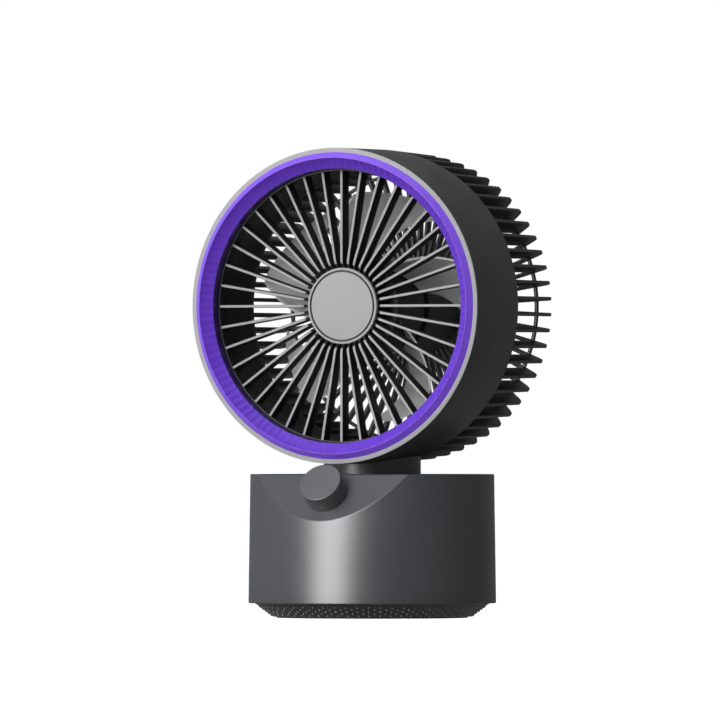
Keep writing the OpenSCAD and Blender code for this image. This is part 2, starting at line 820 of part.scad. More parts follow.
// Rear cage: mounting ring, radial fins that run on as ribs, hoop, motor pedestal
module rear_cage() {
    rib_in = pedestal_r - 1;
    rib_stations = [for (i = [0:3]) fin_in + (rib_in - fin_in) * i / 3];
    fin = concat(
        [[fin_in, drum_y1 - 1], [head_in - 1, drum_y1 - 1], [head_in - 1, drum_y1],
         [head_r, drum_y1]],
        [for (t = [0:22.5:90]) [dome_r + corner_r * cos(t), rear_y - corner_r + corner_r * sin(t)]],
        [for (i = [0:3]) [rib_stations[i], dome_y(rib_stations[i])]],
        [for (i = [3:-1:0]) [rib_stations[i], dome_y(rib_stations[i]) - rib_depth]]);
    color("#232324") on_head_axis() difference() {
        union() {
            ring(head_in - seat_gap, duct_r, flange_y, ring_top);
            for (k = [0:fins - 1]) rotate([0, 0, (k + 0.5) * 360 / fins])
                radial_plate(fin, fin_t);
            ring(fin_in + 0.1, hoop_in, rear_y - 2.5, rear_y - 0.3);
            ring(pedestal_r, pedestal_r - pedestal_wall, pedestal_y,
                dome_y(pedestal_r) - 0.3);
            translate([0, 0, pedestal_y]) cylinder(r = pedestal_r, h = pedestal_wall);
        }
        at_studs() translate([0, 0, flange_y - 1]) cylinder(r = screw_hole_r, h = 10);
        at_motor_screws() translate([0, 0, pedestal_y - 1]) cylinder(r = screw_hole_r, h = 10);
        translate([0, 0, pedestal_y - 1]) cylinder(r = tube_r, h = 10);
    }
}

// Six screws from behind, between the fins, into the drum's studs
module cage_screws() {
    color("silver") on_head_axis() at_studs() translate([0, 0, ring_top]) rotate([180, 0, 0])
        screw_up(12, screw_r, screw_head_r - 0.2, screw_head_h);
}

// Cap over the back of the motor pedestal
module rear_cap() {
    color("#2a2a2b") on_head_axis() difference() {
        translate([0, 0, dome_y(0) - 3.2]) intersection() {
            cylinder(r = cap_r, h = 4);
            translate([0, 0, 3.2 - 90]) sphere(r = 90, $fn = 160);
        }
        ring(cap_r - 3, cap_r - 4, dome_y(0) - 0.9, dome_y(0) + 5);
    }
    color("#2a2a2b") on_head_axis() for (k = [0:3]) rotate([0, 0, 45 + k * 90])
        translate([cap_r - 3, -2, dome_y(0) - 12]) cube([3, 4, 9]);
}

// -------------------------------------------------------------------- motor

// Bearing tube with the flange that bolts to the pedestal
module motor_mount() {
    color("#a7a9ac") on_head_axis() difference() {
        union() {
            translate([0, 0, mount_y]) cylinder(r = stator_r + 1, h = pedestal_y - mount_y);
            translate([0, 0, stator_y0 - 3]) cylinder(r = tube_r, h = mount_y - stator_y0 + 3);
            for (k = [0:2]) rotate([0, 0, 30 + k * 120]) translate([10, 0, mount_y - 1])
                cylinder(r = 1.6, h = 2);
        }
        translate([0, 0, stator_y0 - 4]) cylinder(r = bearing_out, h = bore_end - stator_y0 + 4);
        at_motor_screws() translate([0, 0, mount_y - 1]) cylinder(r = pilot_r, h = 10);
    }
}

// Two ball bearings in the tube
module motor_bearings() {
    color("silver") on_head_axis() for (y = [stator_y0 - 3, stator_y1 + 1])
        ring(bearing_out, shaft_r + 0.02, y, y + bearing_w);
}

// Stator: star of toothed laminations with a coil round each tooth
module motor_stator() {
    color("#b06a32") on_head_axis() difference() {
        union() {
            for (k = [0:stator_teeth - 1]) rotate([0, 0, k * 360 / stator_teeth]) {
                intersection() {
                    translate([0, -4.6, stator_y0]) cube([30, 9.2, stator_y1 - stator_y0]);
                    ring(stator_r, stator_r - 1.4, stator_y0, stator_y1);
                }
                translate([tube_r + 1, -1.2, stator_y0 + 0.3])
                    cube([stator_r - tube_r - 1.8, 2.4, stator_y1 - stator_y0 - 0.6]);
                translate([tube_r + 4.6, -2.3, stator_y0 - 1.2])
                    cube([stator_r - tube_r - 6.6, 4.6, stator_y1 - stator_y0 + 2.4]);
            }
            translate([0, 0, stator_y0 + 0.6])
                cylinder(r = tube_r + 3, h = stator_y1 - stator_y0 - 1.2);
        }
        translate([0, 0, stator_y0 - 5]) cylinder(r = tube_r, h = 30);
    }
}

// Ring board behind the stator with the motor's driver
module motor_board() {
    color("#1f5b3a") on_head_axis() ring(stator_r - 0.4, tube_r + 0.2, mount_y - 2.4, mount_y - 1);
}

// Three screws from inside the pedestal into the motor mount
module motor_screws() {
    color("silver") on_head_axis() at_motor_screws() translate([0, 0, pedestal_y + pedestal_wall])
        rotate([180, 0, 0]) screw_up(5, screw_r, screw_head_r, screw_head_h);
}

// -------------------------------------------------------------------- rotor

// One blade: a grid of points between hub and tip, twisted, swept and cambered.
// Seen from the front its front edge leads from hub_front_a at the hub to
// tip_front_a at the tip, and its rear edge likewise.
function blade_radius(s) = blade_root_r + (tip_r - blade_root_r) * s;
function blade_front_y(s) = hub_front_y + (tip_front_y - hub_front_y) * s;
function blade_rear_y(s) = hub_rear_y + (tip_rear_y - hub_rear_y) * s;
function blade_angle(s, t) =
    (hub_front_a + (tip_front_a - hub_front_a) * s) * (1 - t)
    + (hub_rear_a + (tip_rear_a - hub_rear_a) * pow(s, 1.5)) * t;
function blade_mid_y(s, t) =
    blade_front_y(s) * (1 - t) + blade_rear_y(s) * t + camber * 4 * t * (1 - t);
function blade_half_t(s, t) =
    (hub_half_t + (tip_half_t - hub_half_t) * s) * (edge_share + (1 - edge_share) * sqrt(sin(180 * t)));
function blade_point(s, t, side) = let (a = -blade_angle(s, t), r = blade_radius(s))
    [r * cos(a), r * sin(a), blade_mid_y(s, t) + side * blade_half_t(s, t)];
module blade() {
    n = blade_steps;
    per = n + 1;
    sheet = per * per;
    front = [for (i = [0:n], j = [0:n]) blade_point(i / n, j / n, -1)];
    back = [for (i = [0:n], j = [0:n]) blade_point(i / n, j / n, 1)];
    function quad(a, b, c, d) = [[a, c, b], [a, d, c]];
    skin = [for (i = [0:n - 1], j = [0:n - 1]) let (p = i * per + j)
        each concat(quad(p, p + 1, p + per + 1, p + per),
            quad(sheet + p, sheet + p + per, sheet + p + per + 1, sheet + p + 1))];
    ends = [for (j = [0:n - 1]) let (q = n * per + j)
        each concat(quad(j, sheet + j, sheet + j + 1, j + 1),
            quad(q, q + 1, sheet + q + 1, sheet + q))];
    edges = [for (i = [0:n - 1]) let (p = i * per, q = i * per + n)
        each concat(quad(p, p + per, sheet + p + per, sheet + p),
            quad(q, sheet + q, sheet + q + per, q + per))];
    polyhedron(points = concat(front, back), faces = concat(skin, ends, edges));
}

// Impeller: cup hub over the motor, boss on the shaft, swept blades
module impeller() {
    color("#a9aaac") on_head_axis() difference() {
        union() {
            ring(hub_r, hub_r - hub_wall, hub_y0, hub_y1);
            translate([0, 0, hub_y0]) cylinder(r = hub_r, h = hub_wall);
            translate([0, 0, hub_y0]) cylinder(r = 5, h = bell_y0 - hub_y0);
            for (k = [0:blades - 1]) rotate([0, 0, k * 360 / blades]) blade();
        }
        translate([0, 0, hub_y0 - 1]) cylinder(r = shaft_r, h = 20);
    }
}

module impeller_nut() {
    color("silver") on_head_axis() translate([0, 0, hub_y0 - 2.4]) difference() {
        cylinder(r = shaft_r + 1.8, h = 2.4, $fn = 6);
        translate([0, 0, -1]) cylinder(r = shaft_r, h = 5);
    }
}

// Steel bell that carries the magnets
module rotor_bell() {
    color("#7d7f82") on_head_axis() difference() {
        union() {
            ring(bell_r, bell_r - bell_wall, bell_y0, bell_y1);
            translate([0, 0, bell_y0]) cylinder(r = bell_r, h = bell_wall);
        }
        translate([0, 0, bell_y0 - 1]) cylinder(r = shaft_r, h = 4);
    }
}

module magnet_ring() {
    color("#39393b") on_head_axis() ring(magnet_out, magnet_in, stator_y0 - 1, stator_y1 + 1);
}

module motor_shaft() {
    color("silver") on_head_axis() translate([0, 0, hub_y0 - 3])
        cylinder(r = shaft_r, h = bore_end - 0.2 - hub_y0 + 3);
}

// --------------------------------------------------------------------- knob

// Plain round knob, hollow over the nut, with a boss on the spindle
module knob() {
    knob_r = knob_d / 2;
    edge = 0.5;
    color("#5d5e62") on_knob_axis() difference() {
        rotate_extrude() polygon(concat([[0, knob_lift], [knob_r, knob_lift]],
            [for (t = [0:22.5:90])
                [knob_r - edge + edge * cos(t), knob_h - edge + edge * sin(t)]],
            [[0, knob_h]]));
        difference() {
            translate([0, 0, -1]) cylinder(r = knob_r - knob_skin, h = knob_h - knob_skin + 1);
            translate([0, 0, nut_t + 1.4]) cylinder(r = spindle_r + 1.8, h = knob_h);
        }
        translate([0, 0, -1]) cylinder(r = spindle_r, h = knob_h - knob_skin + 1);
    }
}

module switch_spindle() {
    color("silver") on_knob_axis() translate([0, 0, -top_t - switch_l + 2])
        cylinder(r = spindle_r, h = top_t + switch_l - 2 + knob_h - knob_skin);
}

// ------------------------------------------------------------------ drawing

bottom_cover();
anti_slip_pad();
base_shell();
base_screws();
ballast_plate();
chassis_plate();
chassis_screws();
control_board();
power_inlet();
speed_switch();
switch_nut();
gear_motor();
gear_motor_screws();
thrust_washer();
turret();
turret_gear();
tilt_pin();
pin_clip();
turret_circlip();
gear_motor_shaft();
drive_pinion();
neck();
neck_screws();
tilt_washers();
head_shell();
front_bezel();
light_ring();
led_board();
front_grille();
hub_badge();
air_duct();
rear_cage();
cage_screws();
rear_cap();
motor_mount();
motor_bearings();
motor_stator();
motor_board();
motor_screws();
impeller();
impeller_nut();
rotor_bell();
magnet_ring();
motor_shaft();
knob();
switch_spindle();
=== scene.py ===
"""Desk fan: a lit round head on a neck that tilts and swings, over a weighted base with one knob."""
import math

import bmesh
import bpy
from mathutils import Matrix, Vector


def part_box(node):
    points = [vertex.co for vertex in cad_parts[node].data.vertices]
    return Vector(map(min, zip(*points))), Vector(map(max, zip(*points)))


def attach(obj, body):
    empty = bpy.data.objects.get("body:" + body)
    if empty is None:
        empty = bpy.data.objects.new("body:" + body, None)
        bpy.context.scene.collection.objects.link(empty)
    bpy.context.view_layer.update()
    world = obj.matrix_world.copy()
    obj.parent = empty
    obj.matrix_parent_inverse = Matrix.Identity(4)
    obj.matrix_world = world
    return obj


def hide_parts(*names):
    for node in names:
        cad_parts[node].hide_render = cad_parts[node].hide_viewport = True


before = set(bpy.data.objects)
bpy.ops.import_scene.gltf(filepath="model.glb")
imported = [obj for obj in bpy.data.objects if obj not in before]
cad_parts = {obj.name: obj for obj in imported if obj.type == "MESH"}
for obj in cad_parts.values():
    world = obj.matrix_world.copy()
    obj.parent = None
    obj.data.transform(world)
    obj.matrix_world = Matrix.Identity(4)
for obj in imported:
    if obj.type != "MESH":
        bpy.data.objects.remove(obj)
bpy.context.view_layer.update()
mm = 0.001

# ---------------------------------------------------------------- camera
# A long lens from the front right, just above the height of the base,
# looking very slightly up at the head.
view_angle = math.radians(25.7)
view_right = Vector((math.cos(view_angle), math.sin(view_angle), 0))
view_back = Vector((math.sin(view_angle), -math.cos(view_angle), 0))
camera_data = bpy.data.cameras.new("camera")
camera_data.lens = 700
camera_data.clip_end = 60
camera = bpy.data.objects.new("camera", camera_data)
bpy.context.scene.collection.objects.link(camera)
sideways = view_right * -6.25 * mm
aim = sideways + Vector((0, 0, 131 * mm))
camera.location = sideways + view_back * 7.12 + Vector((0, 0, 90.4 * mm))
camera.rotation_euler = (aim - camera.location).to_track_quat("-Z", "Y").to_euler()
bpy.context.scene.camera = camera

# ---------------------------------------------------------------- foot
# The moulded black foot stands on a rubber sheet. Its sloping skirt carries
# five staggered rows of small raised dots, moulded in one piece; their lighter colour is a painted
# highlight.


def grained(name, dark, light, roughness, grain, depth, spread=0.06, sheen=0.0):
    """A moulded plastic or metal finish: two close shades, fine grain in shade, gloss and relief."""
    material = bpy.data.materials.new(name)
    material.use_nodes = True
    nodes = material.node_tree.nodes
    links = material.node_tree.links
    shader = nodes["Principled BSDF"]
    shader.inputs["Sheen Weight"].default_value = sheen
    place = nodes.new("ShaderNodeTexCoord")
    speckle = nodes.new("ShaderNodeTexNoise")
    speckle.inputs["Scale"].default_value = 1 / (grain * mm)
    speckle.inputs["Detail"].default_value = 3
    links.new(place.outputs["Object"], speckle.inputs["Vector"])
    cloud = nodes.new("ShaderNodeTexNoise")
    cloud.inputs["Scale"].default_value = 1 / (28 * mm)
    cloud.inputs["Detail"].default_value = 2
    links.new(place.outputs["Object"], cloud.inputs["Vector"])
    blend = nodes.new("ShaderNodeMath")
    blend.operation = "MULTIPLY_ADD"
    blend.inputs[1].default_value = 0.6
    links.new(cloud.outputs["Fac"], blend.inputs[0])
    half = nodes.new("ShaderNodeMath")
    half.operation = "MULTIPLY"
    half.inputs[1].default_value = 0.4
    links.new(speckle.outputs["Fac"], half.inputs[0])
    links.new(half.outputs[0], blend.inputs[2])
    shade = nodes.new("ShaderNodeValToRGB")
    shade.color_ramp.elements[0].position = 0.3
    shade.color_ramp.elements[0].color = (*dark, 1)
    shade.color_ramp.elements[1].position = 0.7
    shade.color_ramp.elements[1].color = (*light, 1)
    links.new(blend.outputs[0], shade.inputs["Fac"])
    links.new(shade.outputs["Color"], shader.inputs["Base Color"])
    gloss = nodes.new("ShaderNodeMapRange")
    gloss.inputs["To Min"].default_value = roughness - spread
    gloss.inputs["To Max"].default_value = roughness + spread
    links.new(speckle.outputs["Fac"], gloss.inputs["Value"])
    links.new(gloss.outputs["Result"], shader.inputs["Roughness"])
    relief = nodes.new("ShaderNodeBump")
    relief.inputs["Strength"].default_value = 1
    relief.inputs["Distance"].default_value = depth * mm
    links.new(speckle.outputs["Fac"], relief.inputs["Height"])
    links.new(relief.outputs["Normal"], shader.inputs["Normal"])
    return material


def paint(material, *names):
    """Gives carried-over CAD nodes their finish."""
    for name in names:
        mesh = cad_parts[name].data
        mesh.materials.clear()
        mesh.materials.append(material)


def rounded(corners, steps=4):
    """Outline through (across, along, fillet) corners in mm, each fillet an arc of a few points."""
    points = []
    for i, (across, along, fillet) in enumerate(corners):
        here = Vector((across, along))
        if fillet == 0:
            points.append(here)
            continue
        back = (Vector(corners[i - 1][:2]) - here).normalized()
        ahead = (Vector(corners[(i + 1) % len(corners)][:2]) - here).normalized()
        half = back.angle(ahead) / 2
        centre = here + (back + ahead).normalized() * fillet / math.sin(half)
        start = here + back * fillet / math.tan(half) - centre
        end = here + ahead * fillet / math.tan(half) - centre
        sweep = math.atan2(start.x * end.y - start.y * end.x, start.dot(end))
        for k in range(steps + 1):
            angle = sweep * k / steps
            points.append(centre + Vector((
                start.x * math.cos(angle) - start.y * math.sin(angle),
                start.x * math.sin(angle) + start.y * math.cos(angle))))
    return points


def turn(bm, corners, axis, centre, steps=192, closed=True):
    """Spins an outline of (radius, place, fillet) corners in mm about an axis through centre."""
    along = Vector((0, 0, 1)) if axis == "Z" else Vector((0, 1, 0))
    verts = [bm.verts.new(Vector(centre) + (Vector((1, 0, 0)) * p.x + along * p.y) * mm)
             for p in rounded(corners)]
    pairs = list(zip(verts, verts[1:]))
    if closed:
        pairs.append((verts[-1], verts[0]))
    edges = [bm.edges.new(pair) for pair in pairs]
    spun = bmesh.ops.spin(bm, geom=verts + edges, cent=centre, axis=along, dvec=(0, 0, 0),
                          angle=math.tau, steps=steps, use_merge=True, use_duplicate=False)
    bmesh.ops.remove_doubles(bm, verts=bm.verts, dist=0.001 * mm)
    return spun


def make(bm, name, material, body, crease=32):
    """Turns a bmesh into a finished piece that rides on a body."""
    bmesh.ops.recalc_face_normals(bm, faces=bm.faces)
    mesh = bpy.data.meshes.new(name)
    bm.to_mesh(mesh)
    bm.free()
    mesh.shade_smooth()
    mesh.set_sharp_from_angle(angle=math.radians(crease))
    mesh.materials.append(material)
    piece = bpy.data.objects.new(name, mesh)
    bpy.context.scene.collection.objects.link(piece)
    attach(piece, body)
    return piece


foot_black = grained("foot black", (0.048, 0.048, 0.05), (0.066, 0.066, 0.069), 0.4, 0.5, 0.02)
# The dots' lighter grey over the foot's black is a painted highlight.
dots_painted_highlight = grained("dots with painted highlight", (0.2, 0.2, 0.205), (0.26, 0.26, 0.265), 0.32, 0.4, 0.002)
rubber_black = grained("rubber black", (0.016, 0.016, 0.016), (0.026, 0.026, 0.026), 0.75, 0.7, 0.05)
paint(rubber_black, "anti_slip_pad")
paint(foot_black, "bottom_cover")

skirt_low, skirt_high = 50.6, 59.8
skirt_base, skirt_top = 0.6, 7.4
dot_rows, dots_round = 5, 60
dot_r, dot_rise = 0.7, 0.42
first_row, row_pitch = 1.3, 1.06
skirt_lean = math.atan2(skirt_top - skirt_base, skirt_high - skirt_low)

bm = bmesh.new()
for row in range(dot_rows):
    height = first_row + row * row_pitch
    radius = skirt_low + (height - skirt_base) / math.tan(skirt_lean)
    for k in range(dots_round):
        spot = (Matrix.Rotation((k + 0.5 * (row % 2)) * math.tau / dots_round, 4, "Z")
                @ Matrix.Translation((radius * mm, 0, height * mm))
                @ Matrix.Rotation(math.pi / 2 + skirt_lean, 4, "Y")
                @ Matrix.Diagonal((1, 1, dot_rise / dot_r, 1)))
        bmesh.ops.create_icosphere(bm, subdivisions=1, radius=dot_r * mm, matrix=spot)
make(bm, "skirt_dots", dots_painted_highlight, "base", crease=80)

# ---------------------------------------------------------------- base shell
# One satin anthracite moulding: a barely tapered drum, cut at the front by a
# sloping control face, open at the top for the neck and slotted at the back.
base_satin = grained("base satin", (0.077, 0.08, 0.089), (0.087, 0.09, 0.099), 0.36, 0.35, 0.004,
                     spread=0.03)
base_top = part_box("base_shell")[1].z / mm
seam_r, top_r, seam_z = 63.0, 62.0, 7.4
wall = 2.4
neck_hole_r = 26.3
inlet_band = 2.8
face_slope = math.radians(55)
face_normal = Vector((0, -math.sin(face_slope), math.cos(face_slope)))
face_edge = Vector((0, -45.8, base_top)) * mm

bm = bmesh.new()
bmesh.ops.create_circle(bm, cap_ends=False, segments=240, radius=seam_r * mm,
                        matrix=Matrix.Translation((0, 0, seam_z * mm)))
rim = bmesh.ops.extrude_edge_only(bm, edges=bm.edges[:])
rim_verts = [g for g in rim["geom"] if isinstance(g, bmesh.types.BMVert)]
bmesh.ops.translate(bm, verts=rim_verts, vec=(0, 0, (base_top - seam_z) * mm))
bmesh.ops.scale(bm, verts=rim_verts, vec=(top_r / seam_r, top_r / seam_r, 1))
rim_edges = [g for g in rim["geom"] if isinstance(g, bmesh.types.BMEdge)]
bmesh.ops.contextual_create(bm, geom=rim_edges)
cut = bmesh.ops.bisect_plane(bm, geom=bm.verts[:] + bm.edges[:] + bm.faces[:], plane_co=face_edge,
                             plane_no=face_normal, clear_outer=True)
cut_edges = [g for g in cut["geom_cut"] if isinstance(g, bmesh.types.BMEdge)]
bmesh.ops.contextual_create(bm, geom=cut_edges)
bmesh.ops.remove_doubles(bm, verts=bm.verts, dist=0.2 * mm)
bm.normal_update()
lid = [f for f in bm.faces if f.normal.z > 0.99]
lid_edges = [e for f in lid for e in f.edges]
bmesh.ops.delete(bm, geom=lid, context="FACES_ONLY")
hole = bmesh.ops.create_circle(bm, cap_ends=False, segments=128, radius=neck_hole_r * mm,
                               matrix=Matrix.Translation((0, 0, base_top * mm)))
hole_edges = {e for v in hole["verts"] for e in v.link_edges}
bmesh.ops.triangle_fill(bm, use_beauty=True, edges=lid_edges + list(hole_edges),
                        normal=(0, 0, 1))
inlet_low, inlet_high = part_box("power_inlet")
inlet_z = (inlet_low.z + inlet_high.z) / 2
for level in (inlet_z - inlet_band * mm, inlet_z + inlet_band * mm):
    bmesh.ops.bisect_plane(bm, geom=bm.verts[:] + bm.edges[:] + bm.faces[:],
                           plane_co=(0, 0, level), plane_no=(0, 0, 1))
base_body = make(bm, "base_body", base_satin, "base")
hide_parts("base_shell")

slot_r = 2.0 * mm
slot_half = 2.85 * mm
bm = bmesh.new()
for side_x in (-slot_half, slot_half):
    bmesh.ops.create_circle(bm, cap_ends=False, segments=48, radius=slot_r,
                            matrix=Matrix.Translation((side_x, 0, 0)))
outer = bmesh.ops.convex_hull(bm, input=bm.verts)
bmesh.ops.delete(bm, geom=[g for g in outer["geom_interior"] if isinstance(g, bmesh.types.BMVert)],
                 context="VERTS")
bmesh.ops.dissolve_limit(bm, angle_limit=0.01, verts=bm.verts, edges=bm.edges)
slot_wall = bmesh.ops.extrude_face_region(bm, geom=bm.faces[:])
bmesh.ops.translate(bm, vec=(0, 0, 12 * mm),
                    verts=[g for g in slot_wall["geom"] if isinstance(g, bmesh.types.BMVert)])
bmesh.ops.transform(bm, verts=bm.verts, matrix=Matrix.Translation((0, 56 * mm, inlet_z))
                    @ Matrix.Rotation(-math.pi / 2, 4, "X"))
bmesh.ops.recalc_face_normals(bm, faces=bm.faces)
cutter_mesh = bpy.data.meshes.new("inlet slot")
bm.to_mesh(cutter_mesh)
bm.free()
cutter = bpy.data.objects.new("inlet slot", cutter_mesh)
bpy.context.scene.collection.objects.link(cutter)


def settle(piece, crease=32):
    """Applies a piece's modifiers to its mesh."""
    graph = bpy.context.evaluated_depsgraph_get()
    graph.update()
    mesh = bpy.data.meshes.new_from_object(piece.evaluated_get(graph), depsgraph=graph)
    piece.modifiers.clear()
    piece.data = mesh
    mesh.shade_smooth()
    mesh.set_sharp_from_angle(angle=math.radians(crease))


thick = base_body.modifiers.new("wall", "SOLIDIFY")
thick.thickness = wall * mm
thick.offset = -1
thick.use_even_offset = True
opening = base_body.modifiers.new("inlet", "BOOLEAN")
opening.operation = "DIFFERENCE"
opening.object = cutter
soft = base_body.modifiers.new("edges", "BEVEL")
soft.width = 0.55 * mm
soft.segments = 3
soft.limit_method = "ANGLE"
soft.angle_limit = math.radians(28)
soft.use_clamp_overlap = False
settle(base_body)
bpy.data.objects.remove(cutter)

# ---------------------------------------------------------------- inside the base
# Steel ballast, circuit board, swing motor and its gears, hung on a moulded
# chassis. Little of it shows, but each part has its own finish.
screw_zinc = grained("screw zinc", (0.42, 0.42, 0.43), (0.56, 0.56, 0.56), 0.32, 0.4, 0.004)
turned_steel = grained("turned steel", (0.34, 0.34, 0.35), (0.5, 0.5, 0.51), 0.28, 0.3, 0.003)
rolled_steel = grained("rolled steel", (0.26, 0.26, 0.27), (0.4, 0.4, 0.41), 0.45, 1.2, 0.01)
for metal in (screw_zinc, turned_steel, rolled_steel):
    metal.node_tree.nodes["Principled BSDF"].inputs["Metallic"].default_value = 1
moulded_black = grained("moulded black", (0.024, 0.024, 0.026), (0.036, 0.036, 0.038), 0.5, 0.5, 0.02)
acetal_white = grained("acetal white", (0.62, 0.62, 0.57), (0.74, 0.74, 0.7), 0.4, 0.8, 0.006)
solder_mask = grained("solder mask", (0.012, 0.1, 0.05), (0.02, 0.15, 0.075), 0.3, 1.5, 0.01)
switch_blue = grained("switch blue", (0.03, 0.05, 0.1), (0.045, 0.07, 0.14), 0.45, 0.5, 0.01)
paint(screw_zinc, "base_screws", "chassis_screws", "switch_nut", "gear_motor_screws", "neck_screws",
      "cage_screws", "motor_screws", "impeller_nut")
paint(turned_steel, "tilt_pin", "pin_clip", "turret_circlip", "gear_motor_shaft", "motor_bearings",
      "motor_shaft", "switch_spindle", "gear_motor", "power_inlet")
paint(rolled_steel, "ballast_plate", "rotor_bell")
paint(moulded_black, "chassis_plate", "magnet_ring")
paint(acetal_white, "thrust_washer", "turret", "turret_gear", "drive_pinion", "tilt_washers")
paint(solder_mask, "control_board", "motor_board")
paint(switch_blue, "speed_switch")

# ---------------------------------------------------------------- knob
# A plain turned-looking moulding in satin grey, square to the control face,
# with a small round on its front edge, pressed on the switch's spindle.
knob_grey = grained("knob grey", (0.11, 0.112, 0.123), (0.126, 0.128, 0.139), 0.4, 0.35, 0.004,
                    spread=0.03)
knob_r, knob_lift, knob_h = 11.0, 0.4, 10.2
knob_wall = 2.2
knob_down = 12.0
knob_spot = face_edge + Vector((0, -math.cos(face_slope), -math.sin(face_slope))) * knob_down * mm
bm = bmesh.new()
turn(bm, [(0, knob_h, 0), (knob_r, knob_h, 0.45), (knob_r, knob_lift, 0.2),
          (knob_r - knob_wall, knob_lift, 0), (knob_r - knob_wall, knob_h - knob_wall, 0),
          (0, knob_h - knob_wall, 0)],
     "Z", (0, 0, 0), steps=128, closed=False)
bmesh.ops.transform(bm, verts=bm.verts, matrix=Matrix.Translation(knob_spot)
                    @ Matrix.Rotation(face_slope, 4, "X"))
knob = make(bm, "control_knob", knob_grey, "knob")
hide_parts("knob")

# ---------------------------------------------------------------- neck
# A satin dark tube that comes up through the base, with a saddle on top that
# the drum is screwed down on.
neck_dark = grained("neck dark", (0.105, 0.105, 0.107), (0.122, 0.122, 0.124), 0.36, 0.4, 0.004,
                    spread=0.03)
paint(neck_dark, "neck")

# ---------------------------------------------------------------- drum and duct
# The drum is a deep ring with a fine sparked texture. The black duct is a
# smooth tube inside it, from the front grille to the rear cage.
drum_low, drum_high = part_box("head_shell")
head_z = (drum_low.z + drum_high.z) / 2
hub = (0, 0, head_z)
drum_r = (drum_high.z - drum_low.z) / 2 / mm
drum_front, drum_back = drum_low.y / mm, drum_high.y / mm
drum_in = drum_r - 2.6
duct_r, duct_wall = 69.5, 1.6
duct_front, duct_back = -34.9, drum_back - 3

drum_grey = grained("drum grey", (0.05, 0.05, 0.052), (0.094, 0.094, 0.096), 0.5, 0.6, 0.05)
duct_black = grained("duct black", (0.012, 0.012, 0.013), (0.02, 0.02, 0.021), 0.5, 0.6, 0.01)
bm = bmesh.new()
turn(bm, [(drum_r, drum_front, 0.15), (drum_r, drum_back, 0.4), (drum_in, drum_back, 0.3),
          (drum_in, drum_front, 0)], "Y", hub, steps=288)
drum = make(bm, "drum", drum_grey, "head")
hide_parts("head_shell")
bm = bmesh.new()
turn(bm, [(duct_r, duct_front, 0), (duct_r, duct_back, 0), (duct_r + duct_wall, duct_back, 0),
          (duct_r + duct_wall, duct_front, 0)], "Y", hub, steps=192)
duct = make(bm, "duct", duct_black, "head")
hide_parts("air_duct")

# ---------------------------------------------------------------- lip and lit ring
# A thin light grey lip closes the drum's front edge. Inside it sits the lit
# violet diffuser, with fine prisms on its inner cone that spread the lamps.
trim_grey = grained("trim grey", (0.445, 0.445, 0.443), (0.49, 0.49, 0.487), 0.55, 0.4, 0.004,
                    spread=0.03)
trim_grey.node_tree.nodes["Principled BSDF"].inputs["Specular IOR Level"].default_value = 0.15
lamp_white = grained("lamp white", (0.7, 0.7, 0.68), (0.8, 0.8, 0.78), 0.5, 1.0, 0.01)
paint(lamp_white, "led_board")
lip_t = 0.6
lip_front = drum_front - lip_t
lip_in, skirt_r, skirt_back = 76.5, drum_in - 0.15, -37.8
lit_r, ridge_r = 77.7, 74.9
ridge_y = lip_front - (lit_r - ridge_r)
cone_y = ridge_y + (ridge_r - duct_r)
lit_wall = 1.5
prisms = 120
prism_depth = 0.55

bm = bmesh.new()
turn(bm, [(lip_in, lip_front, 0), (drum_r, lip_front, 0.2), (drum_r, drum_front, 0),
          (skirt_r, drum_front, 0), (skirt_r, skirt_back, 0), (lip_in, skirt_back, 0)],
     "Y", hub, steps=288)
lip = make(bm, "front_lip", trim_grey, "head")
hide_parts("front_bezel")

lit_violet = bpy.data.materials.new("lit violet")
lit_violet.use_nodes = True
nodes = lit_violet.node_tree.nodes
links = lit_violet.node_tree.links
shader = nodes["Principled BSDF"]
shader.inputs["Roughness"].default_value = 0.34
shader.inputs["Specular IOR Level"].default_value = 0.25
shader.inputs["Emission Strength"].default_value = 0.11
place = nodes.new("ShaderNodeTexCoord")
milk = nodes.new("ShaderNodeTexNoise")
milk.inputs["Scale"].default_value = 1 / (9 * mm)
milk.inputs["Detail"].default_value = 2
links.new(place.outputs["Object"], milk.inputs["Vector"])
violet = nodes.new("ShaderNodeValToRGB")
violet.color_ramp.elements[0].position = 0.3
violet.color_ramp.elements[0].color = (0.118, 0.044, 0.53, 1)
violet.color_ramp.elements[1].position = 0.7
violet.color_ramp.elements[1].color = (0.146, 0.056, 0.61, 1)
links.new(milk.outputs["Fac"], violet.inputs["Fac"])
# The outer chamfer is the brightest part: its lighter colour is a painted highlight.
# The short inner wall gets no light of its own and is coloured dark as painted shade, so it reads as
# deep violet.
axes = nodes.new("ShaderNodeSeparateXYZ")
links.new(place.outputs["Object"], axes.inputs["Vector"])
across = nodes.new("ShaderNodeVectorMath")
across.operation = "MULTIPLY_ADD"
across.inputs[1].default_value = (1, 0, 1)
across.inputs[2].default_value = (0, 0, -head_z)
links.new(place.outputs["Object"], across.inputs[0])
reach = nodes.new("ShaderNodeVectorMath")
reach.operation = "LENGTH"
links.new(across.outputs["Vector"], reach.inputs[0])
rim = nodes.new("ShaderNodeMapRange")
rim.inputs["From Min"].default_value = (ridge_r - 0.25) * mm
rim.inputs["From Max"].default_value = (ridge_r + 0.1) * mm
links.new(reach.outputs["Value"], rim.inputs["Value"])
